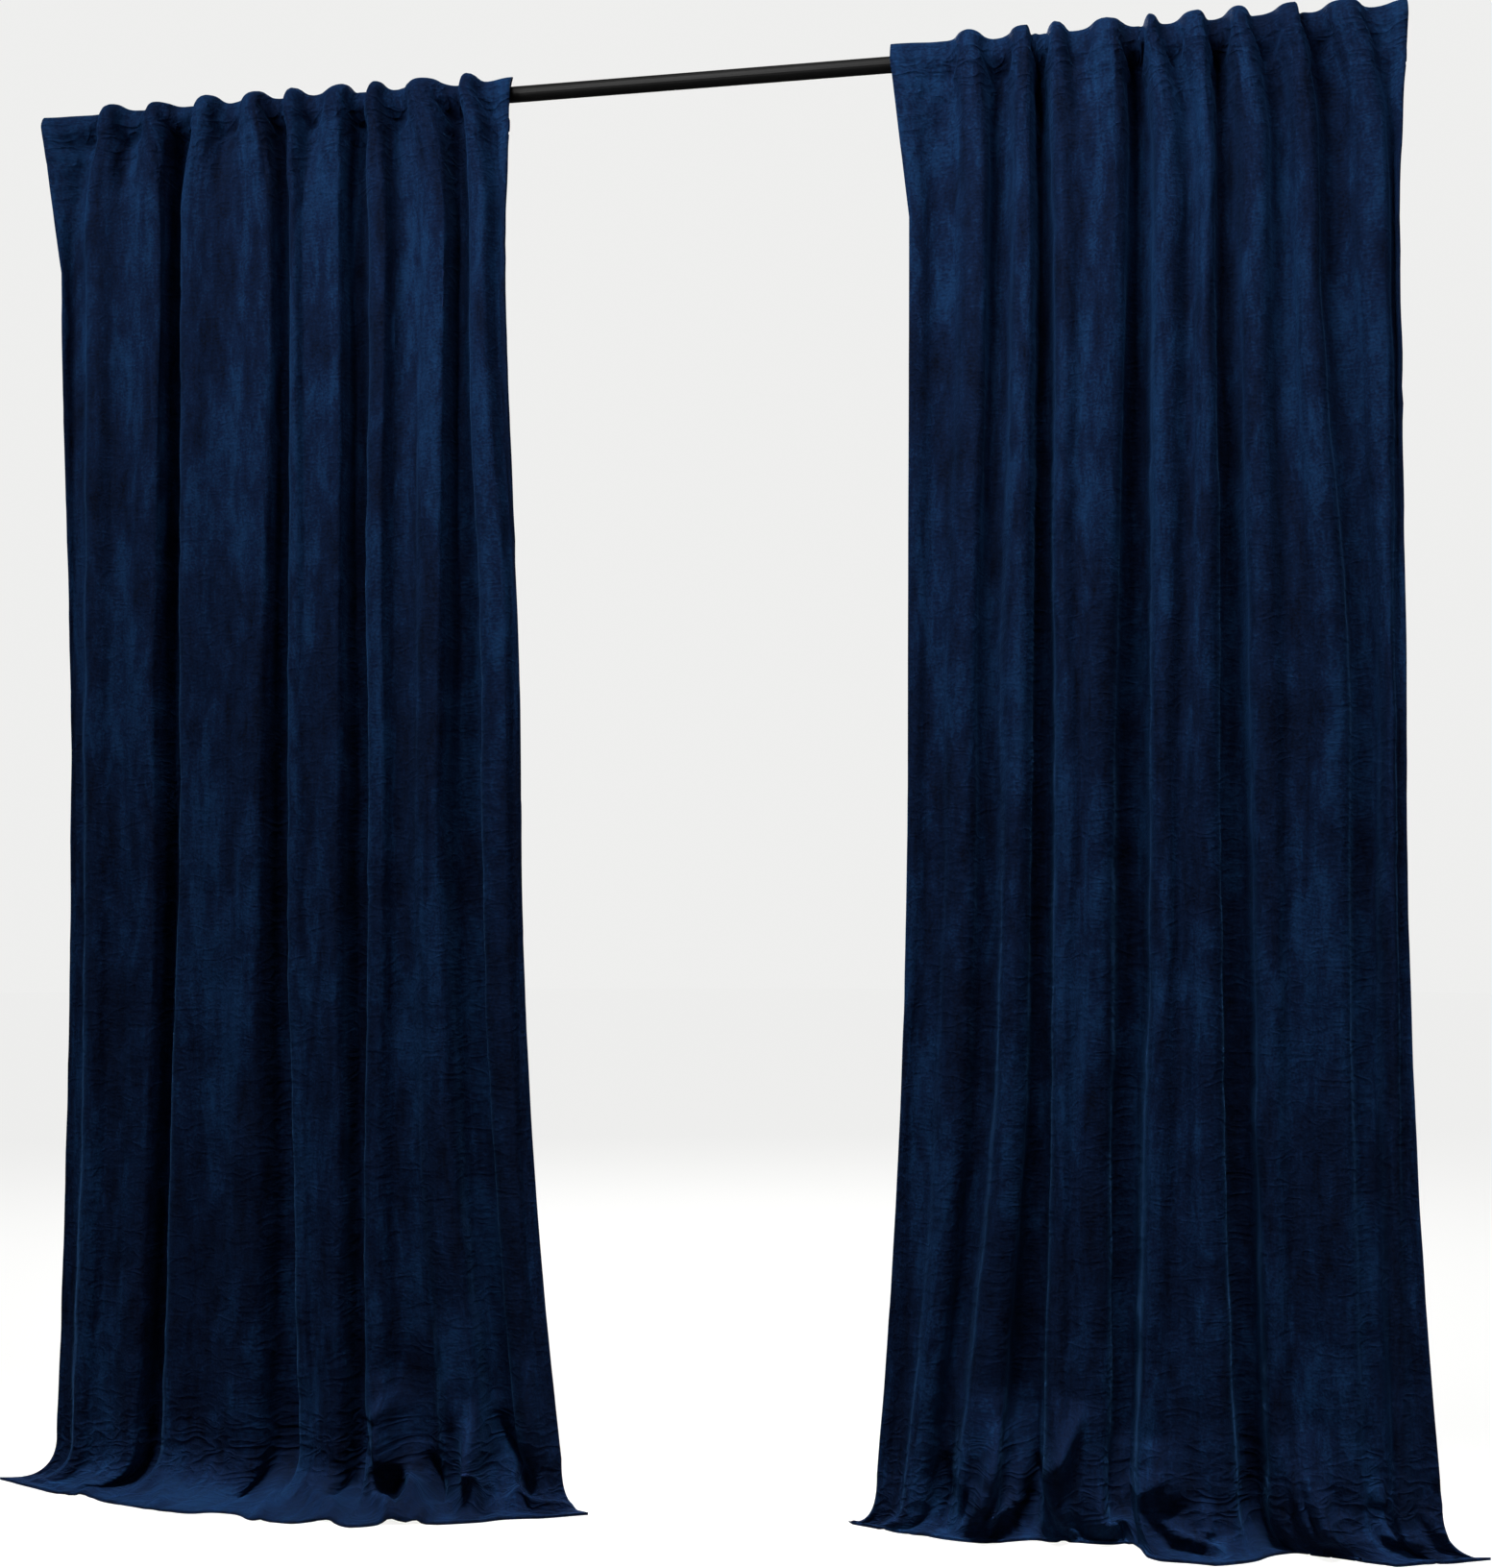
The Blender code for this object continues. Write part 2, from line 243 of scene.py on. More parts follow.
def knotsAt(panel, level):
    # rows of x, y at one level, from the left edge: crest, valley, crest ... right edge
    points = []
    for crest, valley, dip, proud in panel["folds"]:
        points.append((crest[level], -proud))
        points.append((valley[level], dip[level] - proud))
    points.append((panel["rim"][level], -panel["rimProud"]))
    return np.array(points, float)


def easeIn(share):
    return share * share * (3 - 2 * share)


def knotsDown(panel, depth):
    # crests and valleys at any depth: the gathers open out, then the folds lean towards their feet
    head, yoke, waist, foot = (knotsAt(panel, level) for level in range(4))
    yokeDepth, waistDepth, footDepth = hang["levels"][1:]
    above = 1 - min(1, max(0, depth) / yokeDepth)
    opened = 1 - above ** np.array([hang["openAcross"], hang["openOutwards"]])
    swing = easeIn(min(1, max(0, (depth - yokeDepth) / (waistDepth - yokeDepth))))
    drift = max(0, (depth - waistDepth) / (footDepth - waistDepth)) ** 2
    knots = head + (yoke - head) * opened + (waist - yoke) * swing + (foot - waist) * drift
    knots[[0, -1], 0] += (yoke - head)[[0, -1], 0] * (1 - above - opened[0])  # the side edges run straight
    for k in range(1, len(knots) - 1):  # no fold hangs quite straight
        sway = noise.noise(Vector((panel["seed"] + 3.7 * k, depth / hang["swayLength"], 0.4)))
        knots[k, 0] += hang["sway"] * sway * (1 - above)
    return knots


# The hollow under the rod between two gathers, in millimetres.
hollow = {
    "start": 4,             # depth where the cloth starts to fall in
    "forms": 30,            # and the height over which it does
    "besideGather": 28,     # how far down it reaches beside a gather
    "inValley": 120,        # and how much further in the valley, where it ends in a point
}


def hollowed(panel, fold, nearValley, depth):
    # how far the cloth falls in at this depth, across one side of a gather
    drawnIn = easeIn(min(1, max(0, (depth - hollow["start"]) / hollow["forms"])))
    reach = hollow["besideGather"] + hollow["inValley"] * nearValley ** 2
    left = np.clip(1 - max(0, depth - hollow["forms"]) / reach, 0, 1) ** 1.5
    return panel["hollows"][fold] * drawnIn * left * easeIn(nearValley)


def sectionLine(panel, steps, depth):
    # the sheet's middle line at this depth, one x, y for each column
    knots = knotsDown(panel, depth)
    opened = easeIn(min(1, max(0, depth / hang["gatherEnd"])))
    sides = [side for pair in panel["gathers"] for side in pair][1:] + [1]
    points = []
    for k, count in enumerate(steps):
        start, end = knots[k], knots[k + 1]
        steep = min(hang["steepest"], abs(end[1] - start[1]) / hang["steepAt"])
        t = np.arange(count) / count
        along = t + steep * np.sin(2 * math.pi * t) / (2 * math.pi)
        fromCrest = t if k % 2 == 0 else 1 - t
        width = sides[k] + (1 - sides[k]) * opened
        fall = (1 - np.cos(math.pi * np.minimum(fromCrest / width, 1))) / 2
        crest, valley = (start, end) if k % 2 == 0 else (end, start)
        x = start[0] + (end[0] - start[0]) * along
        y = crest[1] + (valley[1] - crest[1]) * fall + hollowed(panel, k // 2, fromCrest, depth)
        points.append(np.column_stack([x, y]))
    points.append(knots[-1:])
    return np.concatenate(points)


def columnSteps(panel):
    # how many columns of the mesh lie between one knot and the next, by the cloth's mean length there
    levels = range(len(hang["levels"]))
    total = sum(np.linalg.norm(np.diff(knotsAt(panel, level), axis=0), axis=1) for level in levels)
    widths = total / len(levels) / hang["columnWidth"]
    return [max(hang["fewestColumns"], round(width)) for width in widths]


def pathLength(line):
    # length of the way from the line's start to each of its points
    return np.concatenate([[0], np.cumsum(np.linalg.norm(np.diff(line, axis=0), axis=1))])


def atHeight(line, z):
    return np.column_stack([line, np.full(len(line), float(z))])


# The rod pocket, in millimetres. The front's bulge is how much further than the back wall it stands
# from the rod's axis: most on a gather, nothing in a valley.
pocket = {
    "backY": 15,            # how far behind the rod's axis the back wall hangs
    "backBulge": 0.5,       # share of the bulge that the back wall shows
    "topBulge": 0.38,       # share by which the top is higher over a gather
    "foldY": -5,            # the pressed fold along the top,
    "foldLean": 0.38,       # which leans forward over a gather
    "foldRound": 1.3,       # 2 is a round top, less is a sharper one
    "rodGap": 2.2,          # closest that the cloth's middle comes to the rod
    "wallGap": 3,           # between the two walls
    "backEndWidth": 90,     # the stretch over which the back wall's short end is drawn in
    "rows": (9, 17, 15),    # rows of the mesh behind, over and before the rod
    "closeFrom": 22,        # depth where the two walls start to touch
    "closeOver": 30,
    "closed": 2.5,          # between the middles of the two walls where they touch
}


def pocketRows(panel, steps):
    # rows from the flap's lower edge, up behind the rod, over it and down its front to the seam
    seamDepth = cloth["seamDepth"]
    rowsBehind, rowsOver, rowsBefore = pocket["rows"]
    rodSide = (rodHigh.z - rodLow.z) / 2 / mm + pocket["rodGap"]
    front = sectionLine(panel, steps, 0)
    seamLine = sectionLine(panel, steps, seamDepth)
    bulge = np.clip(-front[:, 1] - pocket["backY"], 0, None)
    backY = pocket["backY"] + pocket["backBulge"] * bulge
    top = panel["heading"] - cloth["thickness"] / 2 + pocket["topBulge"] * bulge
    toRim = (front[-1, 0] - front[:, 0]) / pocket["backEndWidth"]
    pulledIn = panel["backEnd"] * easeIn(np.clip(1 - toRim, 0, 1))
    rows = []

    def backWall(depth):
        share = easeIn(min(1, depth / seamDepth))
        x = front[:, 0] + (seamLine[:, 0] - front[:, 0]) * share - pulledIn
        return np.column_stack([x, backY + (seamLine[:, 1] + pocket["wallGap"] - backY) * share])

    for depth in np.linspace(cloth["flapEnd"], 0, rowsBehind):
        rows.append(atHeight(backWall(depth), -depth))
    backCount = len(rows)
    foldY = pocket["foldY"] - pocket["foldLean"] * bulge
    for turn in np.linspace(math.pi, 0, rowsOver)[1:-1]:
        side = math.cos(turn)
        reach = np.where(side > 0, -front[:, 1] + foldY, backY - foldY)
        z = top * math.sqrt(1 - abs(side) ** pocket["foldRound"])
        x = front[:, 0] - pulledIn * max(0, -side)
        rows.append(np.column_stack([x, foldY - reach * side, z]))
    for depth in np.linspace(0, seamDepth, rowsBefore):
        line = sectionLine(panel, steps, depth)
        if depth < rodSide:
            line[:, 1] = np.minimum(line[:, 1], -math.sqrt(rodSide ** 2 - depth ** 2))
        line[:, 1] = np.minimum(line[:, 1], backWall(depth)[:, 1] - pocket["wallGap"])
        rows.append(atHeight(line, -depth))
    return rows, backCount


# How the sheet lands on the floor, in millimetres.
landing = {
    "turnDepth": 2218,      # where the sheet starts to turn forward onto the floor
    "turnPower": 0.75,      # 1 turns in a quarter ellipse, less turns more sharply
    "rows": 33,             # of the mesh, from the turn to the hem
    "crestLift": 12,        # how far a crest stays lifted off the floor half way out
    "aboveFloor": 1.2,      # the cloth's middle, where it lies down
    "lowest": 1.1,          # no point of it comes nearer to the floor than this
    "hemByWidth": 0.55,     # the columns are spaced along the hem by the panel's width
    "hemByLength": 0.45,    # and by the length of cloth
    "hemFollowsFolds": 0.3,  # how much of the folds' depth the hem's line keeps
    "crushed": 1.3,         # how deep the creases of the foot are, against the tables
    "crushFrom": 1800,      # depth where they start
    "crushOver": 60,
}


def hemLine(panel, foot):
    # where each column ends on the floor
    outline = np.array(panel["hem"], float)
    along = pathLength(outline)
    byWidth = (foot[:, 0] - foot[0, 0]) / (foot[-1, 0] - foot[0, 0])
    length = pathLength(foot)
    share = landing["hemByWidth"] * byWidth + landing["hemByLength"] * length / length[-1]
    place = share * along[-1]
    x = np.interp(place, along, outline[:, 0])
    y = np.interp(place, along, outline[:, 1])
    y += landing["hemFollowsFolds"] * (foot[:, 1] - foot[:, 1].mean()) * np.sin(math.pi * byWidth)
    return np.column_stack([x, y])


def dropRows(panel, steps):
    # rows from under the seam to the hem, which lies on the floor
    footDepth = landing["turnDepth"]
    stops = (cloth["seamDepth"], *hang["rowStops"], footDepth)
    rows = []
    for start, end, count in zip(stops, stops[1:], hang["rows"]):
        for depth in np.linspace(start, end, count)[1:]:
            rows.append(atHeight(sectionLine(panel, steps, depth), -depth))
    foot = sectionLine(panel, steps, footDepth)
    hem = hemLine(panel, foot)
    floor = floorZ / mm + landing["aboveFloor"]
    height = -footDepth - floor
    crest = np.clip(-(foot[:, 1] - foot[:, 1].mean()) / np.ptp(foot[:, 1]), 0, 1)
    for share in np.linspace(0, 1, landing["rows"])[1:]:
        angle = (share + easeIn(share)) * math.pi / 4
        reach = 1 - math.cos(angle) ** landing["turnPower"]
        fall = 1 - math.sin(angle) ** landing["turnPower"]
        lift = landing["crestLift"] * math.sin(math.pi * share) * crest
        rows.append(np.column_stack([foot + (hem - foot) * reach, floor + height * fall + lift]))
    return rows


def surfaceNormals(points):
    # velvet side outwards
    normals = np.cross(np.gradient(points, axis=0), np.gradient(points, axis=1))
    return normals / np.linalg.norm(normals, axis=2, keepdims=True)


def noiseField(across, down, sizeAcross, sizeDown, seed):
    # smooth noise between about -0.5 and 0.5, with patches of this size in metres
    values = [[noise.noise(Vector((u / sizeAcross, v / sizeDown, seed))) for u in across] for v in down]
    return np.array(values)


def creaseField(u, v, creases, peak=0.5):
    # soft ridges along bent lines over the cloth; each starts in a point and is tallest at peak,
    # a share of its length
    height = np.zeros_like(u)
    for line, tall, wide in creases:
        line = np.array(line, float)
        lengths = np.linalg.norm(np.diff(line, axis=0), axis=1)
        nearest = np.full_like(u, np.inf)
        along = np.zeros_like(u)
        for k, length in enumerate(lengths):
            (u1, v1), (u2, v2) = line[k:k + 2]
            share = np.clip(((u - u1) * (u2 - u1) + (v - v1) * (v2 - v1)) / length ** 2, 0, 1)
            gap = np.hypot(u - u1 - share * (u2 - u1), v - v1 - share * (v2 - v1))
            place = (lengths[:k].sum() + share * length) / lengths.sum()
            along = np.where(gap < nearest, place, along)
            nearest = np.minimum(nearest, gap)
        fade = np.sin(math.pi / 2 * np.interp(along, [0, peak, 1], [0, 1, 0]))
        profile = np.exp(1 - np.hypot(1, nearest / (0.62 * wide)))  # 0.4 of the ridge is left at wide
        height += tall * profile * fade
    return height


def gatherCreases(panel, steps, across):
    # short creases that run from the sides of each gather down into the seam: a bent line of places
    # across and depths, then its height and half width
    knotColumns = np.concatenate([[0], np.cumsum(steps)])
    place = across[knotColumns] / mm
    creases = []
    for k in range(1, len(place) - 1, 2):
        left, valley, right = place[k - 1], place[k], place[k + 1]
        vary, turn = (noise.noise(Vector((k * 1.9 + shift, panel["seed"], 0))) for shift in (0, 40))
        creases += [
            ([(left + 8, -12), (left + 12, 14), (valley + 3, 70)], 5.0 + 5 * vary, 9),
            ([(left + 20, -10), (valley - 3, 44)], -4.0, 8),
            ([(left + 30, -6), (valley + 8, 34)], 3.5 - 5 * vary, 8),
            ([(right - 7, -10), (right - 12, 14), (valley - 3, 62)], 4.5 + 5 * turn, 9),
            ([(right - 20, -8), (valley + 4, 40)], -3.4, 8),
            ([(valley - 3, 66), (valley + 14 * turn, 140)], -3.0, 8),
            ([(left + 3, 50), (left + 10 + 30 * vary, 160)], -2.4, 8),
            ([(right - 2, 56), (right - 14 - 24 * turn, 150)], 2.4, 8),
        ]
    return creases


# Fine relief: size across and down the cloth in metres, shift of the noise, height in millimetres.
relief = {
    "longFolds": (0.036, 0.75, 0.3, 3.4),
    "rumples": (0.017, 0.30, 5.1, 1.4),
    "dimples": (0.050, 0.075, 9.7, 2.2),
    "crumples": (0.024, 0.045, 13.3, 1.3),
    "puckers": (0.011, 0.06, 2.2, 3.4),  # along the seam
}
# Marks left by its folding in the packet, and the seam's own groove, in millimetres.
marks = {
    "packingDeep": 2.8,
    "packingWide": 14,
    "packingStray": 26,     # how far a mark strays from level
    "strayLength": 0.35,    # metres
    "seamDeep": 0.9,
    "seamWide": 6,
    "puckersEnd": 24,       # how soon the puckers fade above and under the seam
    "hangFrom": 60,         # depth where the long folds start,
    "hangOver": 120,        # and the stretch over which they grow
}


def reliefHeight(panel, across, down, depth):
    # millimetres that each point stands out from the smooth folds
    longFolds, rumples, dimples, crumples, puckers = (
        tall * noiseField(across, down, sizeAcross, sizeDown, panel["seed"] + shift)
        for sizeAcross, sizeDown, shift, tall in relief.values()
    )
    hanging = np.clip((depth - marks["hangFrom"]) / marks["hangOver"], 0, 1)[:, None]
    height = hanging * (longFolds + rumples) + dimples + crumples
    for fold in panel["packing"]:
        stray = noiseField(across, [fold * mm], marks["strayLength"], 1, panel["seed"])
        path = depth[:, None] - fold - marks["packingStray"] * stray
        dent = np.exp(-(path / marks["packingWide"]) ** 2)
        height -= marks["packingDeep"] * dent * np.clip(0.5 + dimples, 0, 1)
    fromSeam = np.abs(depth - cloth["seamDepth"])[:, None]
    groove = marks["seamDeep"] * np.exp(-(fromSeam / marks["seamWide"]) ** 2)
    height += puckers * np.exp(-fromSeam / marks["puckersEnd"]) - groove
    return height


def clothSurface(panel):
    # the whole sheet as a grid of points in metres, with its flat coordinates
    steps = columnSteps(panel)
    pocketPart, backCount = pocketRows(panel, steps)
    points = np.array(pocketPart + dropRows(panel, steps)) * mm
    across = np.linspace(0, cloth["flatWidth"] * mm, points.shape[1])
    lengths = np.linalg.norm(np.diff(points, axis=0), axis=2).mean(axis=1)
    down = np.concatenate([[0], np.cumsum(lengths)])
    depth = -points[:, :, 2].mean(axis=1) / mm
    height = reliefHeight(panel, across, down, depth)
    u, v = np.meshgrid(across / mm, depth)
    height += creaseField(u, v, gatherCreases(panel, steps, across))
    height[:backCount] = 0
    outwards = surfaceNormals(points)
    foot = np.clip((depth - landing["crushFrom"]) / landing["crushOver"], 0, 1)[:, None]
    fromHem = np.broadcast_to((down[-1] - down)[:, None] / mm, height.shape)
    crushed = creaseField(points[:, :, 0] / mm, fromHem, panel["footFolds"], 0.7) * foot
    ahead = outwards.mean(axis=1, keepdims=True) * (0, 1, 1)  # one way for a whole row tears no fold's edge
    ahead /= np.linalg.norm(ahead, axis=2, keepdims=True) + 1e-9
    points += (outwards * height[:, :, None] + ahead * (landing["crushed"] * crushed)[:, :, None]) * mm
    closePocket(points, backCount, depth)
    overHem = fromHem < cloth["bottomHem"] + 4  # the bottom hem lies under the cloth here
    hemLayer = (cloth["thickness"] + cloth["layerGap"]) * overHem * mm
    points[:, :, 2] = np.maximum(points[:, :, 2], floorZ + landing["lowest"] * mm + hemLayer)
    seamRow = backCount + int(np.argmin(np.abs(depth[backCount:] - cloth["seamDepth"])))
    return points, across, down, depth, seamRow


def closePocket(points, backCount, depth):
    # towards the seam the pocket's back wall lies against the front one, wrinkles and all
    rowsOver, frontRows = 40, 24  # rows in which the front wall starts, and rows that reach past its seam
    start = backCount + int(np.argmin(np.abs(depth[backCount:backCount + rowsOver])))
    front = points[start:start + frontRows]
    frontDepth = depth[start:start + frontRows]
    behind = front - surfaceNormals(front) * pocket["closed"] * mm
    for row in range(backCount):
        share = easeIn(min(1, max(0, (depth[row] - pocket["closeFrom"]) / pocket["closeOver"])))
        k = int(np.clip(np.searchsorted(frontDepth, depth[row]), 1, frontRows - 1))
        t = (depth[row] - frontDepth[k - 1]) / (frontDepth[k] - frontDepth[k - 1])
        against = behind[k - 1] * (1 - t) + behind[k] * t
        points[row] += (against - points[row]) * share


def addMesh(name, bm, materials):
    mesh = bpy.data.meshes.new(name)
    bm.to_mesh(mesh)
    bm.free()
    mesh.shade_smooth()
    for material in materials:
        mesh.materials.append(material)
    obj = bpy.data.objects.new(name, mesh)
    bpy.context.scene.collection.objects.link(obj)
    return obj


def makeSheet(name, pieces, materials):
    # cloth made of grids of points, with a UV map in metres of flat cloth
    bm = bmesh.new()
    uvLayer = bm.loops.layers.uv.new("clothMetres")
    flatPlace = {}
    for points, across, down in pieces:
        rows, columns = points.shape[:2]
        grid = bmesh.ops.create_grid(bm, x_segments=columns - 1, y_segments=rows - 1, size=0.5)
        for vert in grid["verts"]:
            column = round((vert.co.x + 0.5) * (columns - 1))
            row = round((0.5 - vert.co.y) * (rows - 1))
            flatPlace[vert] = (across[column], -down[row])
            vert.co = points[row, column]
    for face in bm.faces:
        for loop in face.loops:
            loop[uvLayer].uv = flatPlace[loop.vert]
    sheet = addMesh(name, bm, materials)
    solid = sheet.modifiers.new("thickness", "SOLIDIFY")
    solid.thickness = cloth["thickness"] * mm
    solid.offset = 0
    solid.material_offset = len(materials) - 1
    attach(sheet, "root")
    return sheet


def hemStrips(points, across, down, depth):
    # the cloth turned back along both sides and along the bottom, pile outwards
    layer = points - surfaceNormals(points) * (cloth["thickness"] + cloth["layerGap"]) * mm
    bottom = int(np.argmax(down[-1] - down <= cloth["bottomHem"] * mm))
    top = int(np.argmax((depth > cloth["seamDepth"] + 6) & (down > 0.1)))  # just under the pocket's seam
    side = int(np.argmax(across >= cloth["sideHem"] * mm)) + 1
    strips = [(layer[bottom:], across, down[bottom:])]
    for columns in (slice(0, side), slice(len(across) - side, len(across))):
        strips.append((layer[top:bottom + 1, columns], across[columns], down[top:bottom + 1]))
    return [(strip[:, ::-1], u[::-1], v) for strip, u, v in strips]


seam = {
    "pitch": 4.5,           # mm from one stitch to the next
    "length": 3.4,
    "thread": 0.7,
    "color": "#060d20",
}


def addStitches(name, row, outwards, thread):
    # one line of stitches along a row of the cloth
    along = pathLength(row)
    halfLength = seam["length"] * mm / 2
    halfThread = seam["thread"] * mm / 2
    bm = bmesh.new()
    for place in np.arange(seam["pitch"], along[-1] / mm - seam["pitch"], seam["pitch"]) * mm:
        middle, ahead, normal = (
            Vector([np.interp(at, along, values[:, k]) for k in range(3)])
            for at, values in ((place, row), (place + halfLength, row), (place, outwards))
        )
        side = (ahead - middle).normalized()
        normal = (normal - normal.dot(side) * side).normalized()
        middle += normal * cloth["thickness"] / 2 * mm
        turn = Matrix((side, normal, side.cross(normal))).transposed().to_4x4()
        size = Matrix.Diagonal((halfLength, halfThread, halfThread, 1))
        matrix = Matrix.Translation(middle) @ turn @ size
        bmesh.ops.create_icosphere(bm, subdivisions=1, radius=1, matrix=matrix)
    stitches = addMesh(name, bm, [thread])
    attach(stitches, "root")
    return stitches


def hexColor(text):
    values = [int(text[k:k + 2], 16) / 255 for k in (1, 3, 5)]
    return (*[v / 12.92 if v <= 0.04045 else ((v + 0.055) / 1.055) ** 2.4 for v in values], 1.0)


def addNode(owner, kind, links=None, inputs=None, **settings):
    # adds a node with its settings; links maps an input to another node's output socket
    tree = owner.node_tree
    node = tree.nodes.new(kind)
    for key, value in settings.items():
        setattr(node, key, value)
    for key, value in (inputs or {}).items():
        node.inputs[key].default_value = value
    for key, socket in (links or {}).items():
        tree.links.new(socket, node.inputs[key])
    return node


def newMaterial(name, **shaderInputs):
    material = bpy.data.materials.new(name)
    material.use_nodes = True
    shader = material.node_tree.nodes["Principled BSDF"]
    for key, value in shaderInputs.items():
        shader.inputs[key.replace("_", " ")].default_value = value
    return material, shader


velvet = {
    "deep": "#060914",      # pile leaning away, in shade
    "body": "#0a152b",
    "lit": "#102745",
    "sheen": "#3b6a9e",
    "edge": "#1a3e6c",      # painted sheen: a paler blue where a fold turns away from view, as if seen along the pile
    "edgePower": 2.6,       # more keeps that colour closer to the fold's edge
    "edgeShare": 0.2,
    "patch": 120,           # mm, areas where the pile has been brushed one way
    "stroke": 22,           # mm, finger marks and small crushed spots
    "grain": 4,             # real pile is under 1 mm; drawn coarser so that it shows
    "hung": 0.26,           # under 1 makes patches and strokes longer down the cloth than across
    "patchShare": 0.2,      # how much each of the three turns the pile's colour
    "strokeShare": 0.75,
    "grainShare": 0.42,
    "shadeFrom": 0.41,      # sum of the three where the pile is deepest, and where it is lit most
    "shadeTo": 0.98,
    "pileDepth": 2.0,       # mm
    "crumple": 30,          # mm, small sharp wrinkles, most of them in the heading and on the floor
    "crumpleDepth": 4.0,    # mm
    "crumpleAll": 0.16,     # their strength all over
    # Where they are stronger, in metres along the flat cloth: from here, fully from there, and by how much.
    "crumpleHeading": (-0.36, -0.16, 0.6),
    "crumpleFoot": (-2.3, -2.42, 0.45),
}


def makeVelvet():
    # Polyester velvet, cut pile: dark face on, paler where the pile leans away, with a painted sheen that
    # turns it paler where a fold turns away from view.
    material, shader = newMaterial(
        "polyesterVelvetNavy",
        Roughness=0.8,
        IOR=1.45,
        Specular_IOR_Level=0.05,
        Specular_Tint=hexColor(velvet["sheen"]),
        Sheen_Weight=0.15,
        Sheen_Roughness=0.3,
        Sheen_Tint=hexColor(velvet["sheen"]),
    )
    uv = addNode(material, "ShaderNodeUVMap", uv_map="clothMetres").outputs["UV"]

    def scaled(across, along):
        scale = {"Scale": (across, along, 1.0)}
        return addNode(material, "ShaderNodeMapping", {"Vector": uv}, scale).outputs["Vector"]

    def patches(size, vector, **inputs):
        inputs["Scale"] = 1 / (size * mm)
        return addNode(material, "ShaderNodeTexNoise", {"Vector": vector}, inputs).outputs["Fac"]

    def addShare(base, share, weight):
        links, inputs = {0: share}, {1: weight, 2: 0.0}
        if base is not None:
            links[2] = base
        return addNode(material, "ShaderNodeMath", links, inputs, operation="MULTIPLY_ADD").outputs[0]

    def ranged(value, start, end, most=1.0, **settings):
        inputs = {"From Min": start, "From Max": end, "To Max": most}
        node = addNode(material, "ShaderNodeMapRange", {"Value": value}, inputs, **settings)
        return node.outputs["Result"]

    hung = scaled(1.0, velvet["hung"])
    brushed = patches(velvet["patch"], hung, Detail=6.0, Roughness=0.66, Distortion=0.3)
    brushed = ranged(brushed, 0.40, 0.60, interpolation_type="SMOOTHSTEP")
    strokes = patches(velvet["stroke"], hung, Detail=5.0, Roughness=0.68, Distortion=0.3)
    grain = patches(velvet["grain"], uv, Detail=1.0)
    shade = addShare(None, grain, velvet["grainShare"])
    shade = addShare(shade, strokes, velvet["strokeShare"])
    shade = addShare(shade, brushed, velvet["patchShare"])
    shade = ranged(shade, velvet["shadeFrom"], velvet["shadeTo"])
    ramp = addNode(material, "ShaderNodeValToRGB", {"Fac": shade})
    stops = ramp.color_ramp.elements
    stops[0].position, stops[0].color = 0.05, hexColor(velvet["deep"])
    stops[1].position, stops[1].color = 0.95, hexColor(velvet["lit"])
    stops.new(0.5).color = hexColor(velvet["body"])

    # painted sheen: the base colour turns paler where the surface faces away from the view
    paintedSheen = addNode(material, "ShaderNodeLayerWeight", inputs={"Blend": 0.5}).outputs["Facing"]
    paintedSheen = addNode(
        material, "ShaderNodeMath", {0: paintedSheen}, {1: velvet["edgePower"]}, operation="POWER",
    ).outputs[0]
    paintedSheen = addShare(None, paintedSheen, velvet["edgeShare"])
    color = addNode(
        material, "ShaderNodeMix", {0: paintedSheen, 6: ramp.outputs["Color"]},
        {7: hexColor(velvet["edge"])}, data_type="RGBA",
    ).outputs[2]
    material.node_tree.links.new(color, shader.inputs["Base Color"])

    flatLength = addNode(material, "ShaderNodeSeparateXYZ", {"Vector": uv}).outputs["Y"]
    heading = ranged(flatLength, *velvet["crumpleHeading"])
    foot = ranged(flatLength, *velvet["crumpleFoot"])
    amount = addShare(heading, foot, 1.0)
    amount = addNode(
        material, "ShaderNodeMath", {0: amount}, {1: velvet["crumpleAll"]}, operation="ADD",
    ).outputs[0]
    ridgeInputs = {
        "Scale": 1 / (velvet["crumple"] * mm),
        "Detail": 2.0,
        "Roughness": 0.5,
        "Offset": 1.0,
        "Distortion": 0.6,
    }
    flattened = scaled(0.8, 1.6)  # wrinkles wider than they are tall
    ridges = addNode(
        material, "ShaderNodeTexNoise", {"Vector": flattened}, ridgeInputs,
        noise_type="RIDGED_MULTIFRACTAL",
    ).outputs["Fac"]
    ridges = addNode(material, "ShaderNodeMath", {0: ridges, 1: amount}, operation="MULTIPLY").outputs[0]

    pile = addNode(
        material, "ShaderNodeBump", {"Height": shade},
        {"Strength": 0.35, "Distance": velvet["pileDepth"] * mm},
    ).outputs["Normal"]
    crumpled = addNode(
        material, "ShaderNodeBump", {"Height": ridges, "Normal": pile},
        {"Strength": 0.7, "Distance": velvet["crumpleDepth"] * mm},
    ).outputs["Normal"]
    material.node_tree.links.new(crumpled, shader.inputs["Normal"])
    return material


ground = {
    "dark": "#081630",
    "light": "#0f2349",
    "cloud": 45,            # mm, faint unevenness of the dye
    "rib": 2.5,             # real ribs are 1 mm apart; drawn coarser so that they show
    "ribDepth": 0.3,        # mm
}


